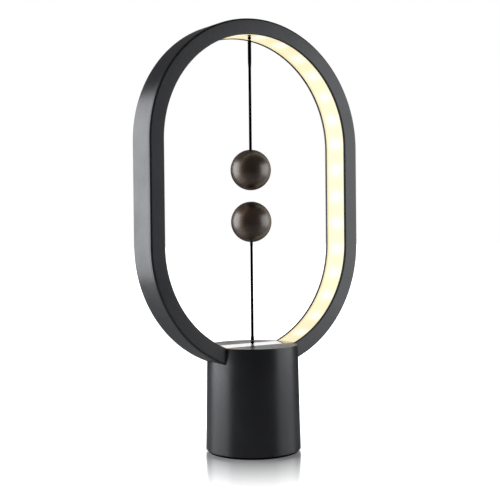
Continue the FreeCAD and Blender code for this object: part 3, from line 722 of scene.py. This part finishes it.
# the three outlines are (across from the outer face, depth, corner radius)
ringShellOutline = [
    (0, -7.8, 0.12), (0, 9.5, 0.45), (-8.6, 9.5, 0.3), (-8.6, 8.2, 0.12),
    (-1.8, 8.2, 0.4), (-1.8, -7.8, 0.05),
]
ringCoverOutline = [
    (0, -9.5, 1.0), (0, -7.8, 0.12), (-1.9, -7.8, 0), (-1.9, -6.3, 0.2),
    (-3.0, -6.3, 0.2), (-3.0, -7.8, 0), (-8.6, -7.8, 0.12), (-8.6, -9.5, 0.3),
]
litBandOutline = [   # this one from the strip's face
    (-5.4, -7.7, 0.25), (-5.4, 7.65, 0.15), (-6.12, 7.85, 0.1), (-6.12, 8.15, 0.05),
    (-1.1, 8.1, 0.1), (-1.1, 6.8, 0.1), (-4.1, 6.8, 0.4), (-4.1, -6.4, 0.4),
    (-1.1, -6.4, 0.1), (-1.1, -7.7, 0.1),
]


def makeSweepTree():
    # sweeps an outline round a loop with half-circle ends that stands in the XZ plane
    tree = bpy.data.node_groups.new("sweepRoundLoop", "GeometryNodeTree")
    tree.is_modifier = True
    addSocket(tree, "OUTPUT", "Loop", "Geometry")
    for label, kind in (("Outline", "Geometry"), ("Width", "Float"), ("Height", "Float"),
                        ("Centre", "Float"), ("Steps", "Int"), ("Finish", "Material")):
        addSocket(tree, "INPUT", label, kind)
    given = tree.nodes.new("NodeGroupInput").outputs
    out = tree.nodes.new("NodeGroupOutput").inputs

    def step(kind, inputs, **settings):
        return addNode(tree, kind, inputs, "GeometryNode", **settings).outputs[0]

    half = arithmetic(tree, "MULTIPLY", given["Width"], 0.5)
    path = step("CurvePrimitiveQuadrilateral", {"Width": given["Width"], "Height": given["Height"]})
    path = step("FilletCurve", {"Curve": path, "Radius": half, "Count": ring["arcSteps"],
                                "Limit Radius": True}, mode="POLY")
    path = step("ResampleCurve", {"Curve": path, "Count": given["Steps"]})
    outline = step("MeshToCurve", {"Mesh": given["Outline"]})
    swept = step("CurveToMesh", {"Curve": path, "Profile Curve": outline})
    place = addNode(tree, "CombineXYZ", {"Z": given["Centre"]}).outputs[0]
    swept = step("Transform", {"Geometry": swept, "Translation": place,
                               "Rotation": (math.pi / 2, 0, 0)})
    swept = step("RealizeInstances", {"Geometry": swept})
    swept = step("SetMaterial", {"Geometry": swept, "Material": given["Finish"]})
    tree.links.new(swept, out["Loop"])
    return tree


sweepTree = makeSweepTree()


def growTree(piece, tree, values):
    # runs a node tree on the piece and keeps its mesh
    modifier = piece.modifiers.new(tree.name, "NODES")
    modifier.node_group = tree
    for item in tree.interface.items_tree:
        if item.item_type == "SOCKET" and item.in_out == "INPUT" and item.name in values:
            modifier[item.identifier] = values[item.name]
    bakeModifiers(piece)


def sweepLoop(name, corners, radius, slot):
    outline = roundCorners(corners, ring["cornerSteps"])
    count = len(outline)
    mesh = bpy.data.meshes.new(name)
    edges = [(index, (index + 1) % count) for index in range(count)]
    mesh.from_pydata([(x * mm, y * mm, 0) for x, y in outline], edges, [])
    piece = addObject(name, mesh)
    growTree(piece, sweepTree, {
        "Width": 2 * radius * mm,
        "Height": (2 * radius + ring["highArc"] - ring["lowArc"]) * mm,
        "Centre": (ring["lowArc"] + ring["highArc"]) / 2 * mm,
        "Steps": ring["steps"],
        "Finish": finishes[slot],
    })
    faceOutwards(piece.data)
    return piece


ringPosts = {
    "x": 18.0, "y": 5.3, "radius": 2.4, "pilot": 1.2,
    "bottom": 43.0, "top": 49.85, "pilotTop": 47.6,
}
bush = {
    "radius": 1.9, "noseRadius": 1.25, "noseHeight": 1.7, "bore": 0.9, "bottom": 41.0,
    "top": 59.5, "edge": 0.15, "fineEdge": 0.1,
    "room": 0.05,         # play in the holes that it passes through
}
wires = {"x": 3.9, "y": 1.5, "hole": 0.8}


def cornerPlaces(x, y):
    return [(sx * x, sy * y) for sx in (-1, 1) for sy in (-1, 1)]


def makeRingShell():
    piece = sweepLoop("ringShell", ringShellOutline, ring["radius"], "shell_black")
    posts, bottom = ringPosts, ringPosts["bottom"]
    places = cornerPlaces(posts["x"], posts["y"])
    carve(piece, [rodTool(posts["radius"], bottom, posts["top"], x, y) for x, y in places], "UNION")
    lowest = ring["lowArc"] - ring["radius"]
    low, high = lowest - cutPast, lowest + ring["holeDepth"]
    holes = [rodTool(posts["pilot"], bottom - cutPast, posts["pilotTop"], x, y) for x, y in places]
    holes.append(rodTool(bush["radius"] + bush["room"], low, high, 0, 0))
    holes += [rodTool(wires["hole"], low, high, wires["x"], side * wires["y"]) for side in (-1, 1)]
    carve(piece, holes)
    settle(piece, "lamp_body", "shell_black", "ring_channel")


def loopRadius(x, z):
    # distance from the loop's middle line, which runs between the two arcs' centres
    return math.hypot(x, z - min(max(z, ring["lowArc"]), ring["highArc"]))


def makeRingCover():
    piece = sweepLoop("ringFrontCover", ringCoverOutline, ring["radius"], "shell_black")
    inner = ring["radius"] + ringCoverOutline[-1][0]
    sides = piece.data.attributes.new("lipSide", "FLOAT", "POINT")
    for index, vertex in enumerate(piece.data.vertices):
        fromMiddle = loopRadius(vertex.co.x / mm, vertex.co.z / mm)
        sides.data[index].value = float(fromMiddle < inner + slack)
    settle(piece, "lamp_body", "shell_black", "ring_front_cover")


litBand = {
    "pathRadius": 66.9,   # face of the strip that carries the chips
    "chips": 34,
    "anchorHole": 1.0,
    "face": 61.5,         # radius of the band's own face
    "cutFront": 2.0, "cutBehind": 3.0,   # how far the tools reach on each side of that face
}


def loopTravel(x, z, radius):
    # way along the loop from its lowest point, the same on both sides
    side = ring["highArc"] - ring["lowArc"]
    if z < ring["lowArc"]:
        return radius * math.atan2(abs(x), ring["lowArc"] - z)
    if z <= ring["highArc"]:
        return radius * math.pi / 2 + z - ring["lowArc"]
    return radius * math.pi / 2 + side + radius * math.atan2(z - ring["highArc"], abs(x))


def makeLitBand():
    radius, front, behind = litBand["pathRadius"], litBand["cutFront"], litBand["cutBehind"]
    piece = sweepLoop("litBand", litBandOutline, radius, "light_milky")
    faceTop = ring["highArc"] + litBand["face"]
    faceLow = ring["lowArc"] - litBand["face"]
    carve(piece, [
        rodTool(litBand["anchorHole"], faceTop - front, faceTop + behind, 0, 0),
        rodTool(bush["radius"] + bush["room"], faceLow - behind, faceLow + front, 0, 0),
    ])
    pitch = (2 * math.pi * radius + 2 * (ring["highArc"] - ring["lowArc"])) / litBand["chips"]
    spots = piece.data.attributes.new("litSpot", "FLOAT", "POINT")
    for index, vertex in enumerate(piece.data.vertices):
        travel = loopTravel(vertex.co.x / mm, vertex.co.z / mm, radius)
        spots.data[index].value = -math.cos(2 * math.pi * travel / pitch)
    settle(piece, "lamp_body", "light_milky", "ring_diffuser")


makeRingShell()
makeRingCover()
makeLitBand()
print("ring made")

base = {
    "foot": 1.2, "top": 59.5, "footRadius": 26.545, "topRadius": 25.45, "edge": 0.4,
    "innerFoot": 24.75, "innerTop": 23.45, "turns": 192, "cornerSteps": 5,
    "bossRadius": 2.9, "bossCircle": 22.0, "pilotRadius": 1.2, "pilotCircle": 21.2,
    "bosses": [           # those for the floor's screws, then those for the plate's
        {"angles": (30, 150, 270), "low": 3.2, "high": 13.0, "pilotLow": 2.2, "pilotHigh": 11.0},
        {"angles": (90, 210, 330), "low": 32.5, "high": 41.0, "pilotLow": 34.0, "pilotHigh": 42.0},
    ],
    "inlet": {"width": 10.0, "height": 4.2, "corner": 1.9, "z": 15.18, "front": 20.0,
              "back": 30.0, "steps": 10},
    "ringRoom": {"radius": 69.1, "halfDepth": 9.6, "reach": 60, "steps": 240,
                 "halfWidth": 70.0, "top": 90.0},
}
topCover = {
    "radius": 23.35, "low": 57.5, "edge": 0.15, "lip": 60.3,
    "rimFlat": 1.5,       # a point this many edges in keeps the top flat to the rim
    "slot": 6.65, "slotReach": 30.0, "reach": 40, "steps": 160,
    "ribs": {"x": 9.0, "width": 2.0, "low": 56.0, "reach": 8.95},
    "posts": {"x": 12.0, "y": 15.5, "radius": 2.4, "pilot": 1.2, "low": 43.0, "pilotTop": 49.0},
}
topWindow = {"half": 6.6, "low": 57.5, "radius": 61.4, "reach": 40, "steps": 400}
footPad = {"radius": 25.3, "height": 1.2, "edge": 0.25}


def onCircle(radius, angles):
    turns = [math.radians(angle) for angle in angles]
    return [(radius * math.cos(turn), radius * math.sin(turn)) for turn in turns]


def lowArcPoints(radius, reach, steps):
    # points on the ring's low end arc, from -X to +X, in the XZ plane
    points = []
    for step in range(steps + 1):
        angle = -math.pi / 2 + math.radians(reach) * (2 * step / steps - 1)
        points.append((radius * math.cos(angle), ring["lowArc"] + radius * math.sin(angle)))
    return points


def makeBaseShell():
    foot, top = base["foot"], base["top"]
    wall = roundCorners([
        (base["footRadius"], foot, base["edge"]), (base["topRadius"], top, base["edge"]),
        (base["innerTop"], top, 0), (base["innerFoot"], foot, 0),
    ], base["cornerSteps"])
    piece = addObject("baseShell", latheMesh("baseShell", wall, base["turns"]))
    carve(piece, [rodTool(base["bossRadius"], boss["low"], boss["high"], x, y)
                  for boss in base["bosses"]
                  for x, y in onCircle(base["bossCircle"], boss["angles"])], "UNION")
    tools = [rodTool(base["pilotRadius"], boss["pilotLow"], boss["pilotHigh"], x, y)
             for boss in base["bosses"] for x, y in onCircle(base["pilotCircle"], boss["angles"])]
    room, inlet = base["ringRoom"], base["inlet"]
    outline = lowArcPoints(room["radius"], room["reach"], room["steps"])
    outline += [(room["halfWidth"], room["top"]), (-room["halfWidth"], room["top"])]
    tools.append(prismTool(outline, -room["halfDepth"], room["halfDepth"]))
    right, up = inlet["width"] / 2, inlet["height"] / 2
    corners = ((-right, -up), (right, -up), (right, up), (-right, up))
    slot = [(x, z + inlet["z"], inlet["corner"]) for x, z in corners]
    slot = roundCorners(slot, inlet["steps"], hold=0.0)
    tools.append(prismTool(slot, inlet["front"], inlet["back"]))
    carve(piece, tools)
    settle(piece, "lamp_body", "shell_black", "base_shell")


def makeTopCover():
    radius, low, top, edge = topCover["radius"], topCover["low"], base["top"], topCover["edge"]
    outline = [(0, low), (radius, low), *rimEdge(radius, top, edge, 1),
               (radius - topCover["rimFlat"] * edge, top), (0, top)]
    piece = addObject("topCover", latheMesh("topCover", outline, base["turns"], closed=False))
    reach, steps, slot = topCover["reach"], topCover["steps"], topCover["slot"]
    room, across = base["ringRoom"], topCover["slotReach"]
    outline = lowArcPoints(topCover["lip"], reach, steps)
    outline += lowArcPoints(room["radius"], reach, steps)[::-1]
    carve(piece, [
        blockTool(-across, across, -slot, slot, low - cutPast, top + cutPast),
        prismTool(outline, -room["halfDepth"], room["halfDepth"]),
    ])
    ribs, posts = topCover["ribs"], topCover["posts"]
    half, reach = ribs["width"] / 2, ribs["reach"]
    joined = [blockTool(side * ribs["x"] - half, side * ribs["x"] + half, -reach, reach,
                        ribs["low"], low + slack) for side in (-1, 1)]
    places = cornerPlaces(posts["x"], posts["y"])
    joined += [rodTool(posts["radius"], posts["low"], low + slack, x, y) for x, y in places]
    carve(piece, joined, "UNION")
    bottom = posts["low"] - cutPast
    carve(piece, [rodTool(posts["pilot"], bottom, posts["pilotTop"], x, y) for x, y in places])
    settle(piece, "lamp_body", "cover_grey", "top_cover")


def makeTopWindow():
    radius, low, top = topWindow["radius"], topWindow["low"], base["top"]
    arc = lowArcPoints(radius, topWindow["reach"], topWindow["steps"])
    arc = [(x, z) for x, z in arc if low < z < top]
    half = math.sqrt(radius ** 2 - (ring["lowArc"] - top) ** 2)
    outline = [(half, top), (-half, top)]
    outline += [point for point in arc if point[0] < 0]
    outline += [point for point in arc if point[0] > 0]
    piece = prismTool(outline, -topWindow["half"], topWindow["half"], "topWindow")
    room, shoulder = bush["room"], top - bush["noseHeight"]
    carve(piece, [
        rodTool(bush["radius"] + room, low - cutPast, shoulder + room, 0, 0),
        rodTool(bush["noseRadius"] + room, low - cutPast, top + cutPast, 0, 0),
    ])
    settle(piece, "lamp_body", "window_milky", "top_window")


def makeTurned(name, corners, body, slot, node, closed=True, turns=96):
    # a closed outline has corners of (radius, height, rounding)
    outline = roundCorners(corners, hold=0.02) if closed else corners
    settle(addObject(name, latheMesh(name, outline, turns, closed)), body, slot, node)


def makeFootPad():
    radius, height = footPad["radius"], footPad["height"]
    rim = rimEdge(radius, 0, footPad["edge"], -1)[::-1]
    makeTurned("footPad", [(0, 0), *rim, (radius, height), (0, height)],
               "lamp_body", "foot_rubber", "foot_pad", closed=False, turns=base["turns"])


def makeCordBush():
    wide, nose, bore = bush["radius"], bush["noseRadius"], bush["bore"]
    low, top, edge, fine = bush["bottom"], bush["top"], bush["edge"], bush["fineEdge"]
    shoulder = top - bush["noseHeight"]
    makeTurned("cordBush", [
        (bore, low, fine), (wide, low, edge), (wide, shoulder, edge), (nose, shoulder, 0),
        (nose, top, fine), (bore, top, edge),
    ], "lamp_body", "bush_black", "cord_bush")


makeBaseShell()
makeTopCover()
makeTopWindow()
makeFootPad()
makeCordBush()
print("base made")

sleeves = {               # shrunk on where the cords leave
    "radius": 0.98, "bore": 0.79, "edge": 0.08, "turns": 64,
    "thin": 0.04,         # wall at the tapered end
    "upper": {"tight": 229.77, "loose": 214.77, "taper": 3.4},   # tight is the pivot's end
    "lower": {"tight": 61.73, "loose": 64.13, "taper": 0.6},
}
anchor = {"stem": 0.95, "head": 2.2, "headHeight": 1.6, "edge": 0.2, "turns": 64}


def makeSleeve(name, side, body, node):
    # the wall thins over the taper at the loose end
    tight, loose, taper = (sleeves[side][key] for key in ("tight", "loose", "taper"))
    radius, bore, edge = sleeves["radius"], sleeves["bore"], sleeves["edge"]
    way = 1 if loose > tight else -1
    makeTurned(name, [
        (bore, tight, 0), (radius, tight, edge), (radius, loose - way * taper, edge),
        (bore + sleeves["thin"], loose, 0), (bore, loose, 0),
    ], body, "bush_black", node, turns=sleeves["turns"])


def makeAnchor():
    low, high = (corner[2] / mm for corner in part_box("upper_anchor"))
    stem, head, edge = anchor["stem"], anchor["head"], anchor["edge"]
    neck = high - anchor["headHeight"]
    makeTurned("upperAnchor", [
        (0, low), *rimEdge(stem, low, edge, -1)[::-1], (stem, neck), (head, neck),
        (head, high - edge), (head - edge, high), (0, high),
    ], "lamp_body", "bush_black", "upper_anchor", closed=False, turns=anchor["turns"])


makeSleeve("upperSleeve", "upper", "upper_ball_set", "upper_cord_sleeve")
makeSleeve("lowerSleeve", "lower", "lower_cord_run", "lower_cord_sleeve")
makeAnchor()
print("sleeves made")

ball = {
    "radius": 11.35, "turns": 160, "arcSteps": 72,
    "upperCentre": 157.3, "lowerCentre": 128.3,
    "bore": 5.05, "boreFloor": 3.65, "boreLip": 0.14,
    "chamber": 2.2, "chamberFloor": -2.5,
    "cordHole": 0.86, "cordLip": 0.35,
    "cap": 5.0, "capBack": 8.75, "capEdge": 0.12, "capSteps": 16,
}


def sphereDepth(radius):
    return math.sqrt(ball["radius"] ** 2 - radius ** 2)


def makeBall(name, centre, towardsGap, body, node):
    # the outline runs from the cord's hole round the outside and back through the bore
    hole, lip, bore, boreLip = (ball[key] for key in ("cordHole", "cordLip", "bore", "boreLip"))
    start = math.atan2(hole + lip, sphereDepth(hole + lip))
    end = math.pi - math.atan2(bore + boreLip, sphereDepth(bore + boreLip))
    outline = []
    for step in range(ball["arcSteps"] + 1):
        angle = start + (end - start) * step / ball["arcSteps"]
        outline.append((ball["radius"] * math.sin(angle), -ball["radius"] * math.cos(angle)))
    outline += [
        (bore + edgeBow * boreLip, sphereDepth(bore) - edgeBow * boreLip),
        (bore, sphereDepth(bore) - boreLip),
        (bore, ball["boreFloor"]),
        (ball["chamber"], ball["boreFloor"]),
        (ball["chamber"], ball["chamberFloor"]),
        (hole, ball["chamberFloor"]),
        (hole, -sphereDepth(hole) + lip),
        (hole + edgeBow * lip, -sphereDepth(hole) + edgeBow * lip),
    ]
    outline = [(radius, centre + towardsGap * depth) for radius, depth in outline]
    piece = addObject(name, latheMesh(name, outline, ball["turns"]))
    settle(piece, body, "ball_wood", node)


def makeBallCap(name, centre, towardsGap, body, node):
    cap, back, edge, steps = (ball[key] for key in ("cap", "capBack", "capEdge", "capSteps"))
    outline = [(0, back), (cap, back), (cap, sphereDepth(cap) - edge)]
    for step in range(steps + 1):
        radius = (cap - edge) * (1 - step / steps)
        outline.append((radius, sphereDepth(radius)))
    outline = [(radius, centre + towardsGap * depth) for radius, depth in outline]
    piece = addObject(name, latheMesh(name, outline, ball["turns"], closed=False))
    settle(piece, body, "ball_wood", node)


makeBall("upperBall", ball["upperCentre"], -1, "upper_ball_set", "upper_ball")
makeBallCap("upperBallCap", ball["upperCentre"], -1, "upper_ball_set", "upper_ball_cap")
makeBall("lowerBall", ball["lowerCentre"], 1, "lower_ball_set", "lower_ball")
makeBallCap("lowerBallCap", ball["lowerCentre"], 1, "lower_ball_set", "lower_ball_cap")
print("balls made")

studio = {
    "floorSize": 16.0,
    "floorColour": (0.80, 0.80, 0.80),
    "floorShade": (0.55, 0.55, 0.55),      # the floor as the lamp mirrors it
    "paintedFloorShadeBeyond": (0.25, 0.25, 0.25),   # and a painted shade beyond the lamp
    "shadeReach": (0.02, 0.14),
    "floorCoat": 0.16,             # roughness of the polish
    "floorMetal": 0.5,
    "floorMirror": 0.45,           # share of the polish that the lamp mirrors
    "polishReach": (0.12, 0.6),    # the polish shows near the lamp only
    "paintedFloorGlow": (0.09, 1.5),      # painted white glow, a little at the foot and far more away from it
    "paintedGlowReach": (0.030, 0.105),
    "behind": (0.56, 0.83, 0.0),   # the way the camera looks
    "glowEdge": (0.945, 0.965),    # how far the bright backdrop reaches to the sides
    "glowTop": (0.40, 0.26),       # and upwards
    "glowFoot": (0.05, 0.11),      # it starts a little above the horizon
    "footGlow": 0.15,              # what is left of it below that
    "backdrop": 1.7,
    "room": 0.13,
    "white": (1.0, 1.0, 1.0),
    "lightColour": (0.955, 0.97, 1.0),
    "middle": (0.0, 0.0, 0.12),
    "lights": {                    # glow is power over area
        "leftBox": {"towards": (-0.856, 0.515, 0.15), "distance": 0.32,
                    "size": (0.36, 0.335), "glow": 4.45},
        "rightBox": {"towards": (0.815, -0.575, 0.11), "distance": 0.39,
                     "size": (0.41, 0.31), "glow": 3.0},
    },
}


def makeFloor():
    half = studio["floorSize"] / 2
    corners = [(-half, -half, 0), (half, -half, 0), (half, half, 0), (-half, half, 0)]
    mesh = bpy.data.meshes.new("studioFloor")
    mesh.from_pydata(corners, [], [(0, 1, 2, 3)])
    floor = addObject("studioFloor", mesh)
    material, tree, shader = newMaterial("paleFloor", {
        "Roughness": studio["floorCoat"], "Coat Roughness": studio["floorCoat"],
        "Specular IOR Level": 0.0, "Emission Color": studio["white"],
    })
    # the painted white glow is for the camera, and the lamp itself mirrors a greyer and duller
    # floor
    path = addNode(tree, "LightPath").outputs
    seen, glossy = path["Is Camera Ray"], path["Is Glossy Ray"]
    place = objectPlace(tree)
    away = addNode(tree, "VectorMath", {0: place}, operation="LENGTH").outputs["Value"]
    ahead = along(tree, place, studio["behind"])
    # painted shade on the floor beyond the lamp, which only the lamp's reflections show
    paintedShadeShare = rescale(tree, ahead, *studio["shadeReach"], 0.0, 1.0)
    mirrored = mixColour(tree, paintedShadeShare, studio["floorShade"], studio["paintedFloorShadeBeyond"])
    dulled = arithmetic(tree, "MULTIPLY", glossy, studio["floorMirror"])
    shared = arithmetic(tree, "MAXIMUM", seen, dulled)
    # painted glow on the floor, weaker near the foot
    paintedGlow = rescale(tree, away, *studio["paintedGlowReach"], *studio["paintedFloorGlow"])
    polish = rescale(tree, away, *studio["polishReach"], 1.0, 0.0)
    polish = arithmetic(tree, "MULTIPLY", shared, polish)
    feed(tree, shader, {
        "Base Color": mixColour(tree, glossy, studio["floorColour"], mirrored),
        "Emission Strength": arithmetic(tree, "MULTIPLY", seen, paintedGlow),
        "Coat Weight": polish,
        "Metallic": arithmetic(tree, "MULTIPLY", polish, studio["floorMetal"]),
    })
    mesh.materials.append(material)


def makeWorld():
    # white to the camera, and a dim room with a bright backdrop to all else
    world = bpy.data.worlds.new("studioWorld")
    world.use_nodes = True
    scene.world = world
    tree = world.node_tree
    way = addNode(tree, "TexCoord").outputs["Generated"]
    height = axesOf(tree, way)["Z"]
    beside = rescale(tree, along(tree, way, studio["behind"]), *studio["glowEdge"], 0.0, 1.0)
    below = rescale(tree, height, *studio["glowTop"], 0.0, 1.0)
    above = rescale(tree, height, *studio["glowFoot"], studio["footGlow"], 1.0)
    band = arithmetic(tree, "MULTIPLY", arithmetic(tree, "MULTIPLY", beside, below), above)
    shade = rescale(tree, band, 0, 1, studio["room"], studio["backdrop"])
    seen = addNode(tree, "LightPath").outputs["Is Camera Ray"]
    colour = mixColour(tree, seen, shade, studio["white"])
    feed(tree, tree.nodes["Background"].inputs, {"Color": colour})


def makeLights():
    middle = Vector(studio["middle"])
    for name, box in studio["lights"].items():
        data = bpy.data.lights.new(name, "AREA")
        data.shape = "RECTANGLE"
        data.size, data.size_y = box["size"]
        data.energy = box["glow"] * math.pi * box["size"][0] * box["size"][1]
        data.color = studio["lightColour"]
        light = addObject(name, data)
        light.visible_camera = False
        way = Vector(box["towards"]).normalized()
        light.location = middle + way * box["distance"]
        light.rotation_mode = "QUATERNION"
        light.rotation_quaternion = way.to_track_quat("Z", "Y")


makeFloor()
makeWorld()
makeLights()
scene.view_settings.view_transform = "Standard"
print("studio made")
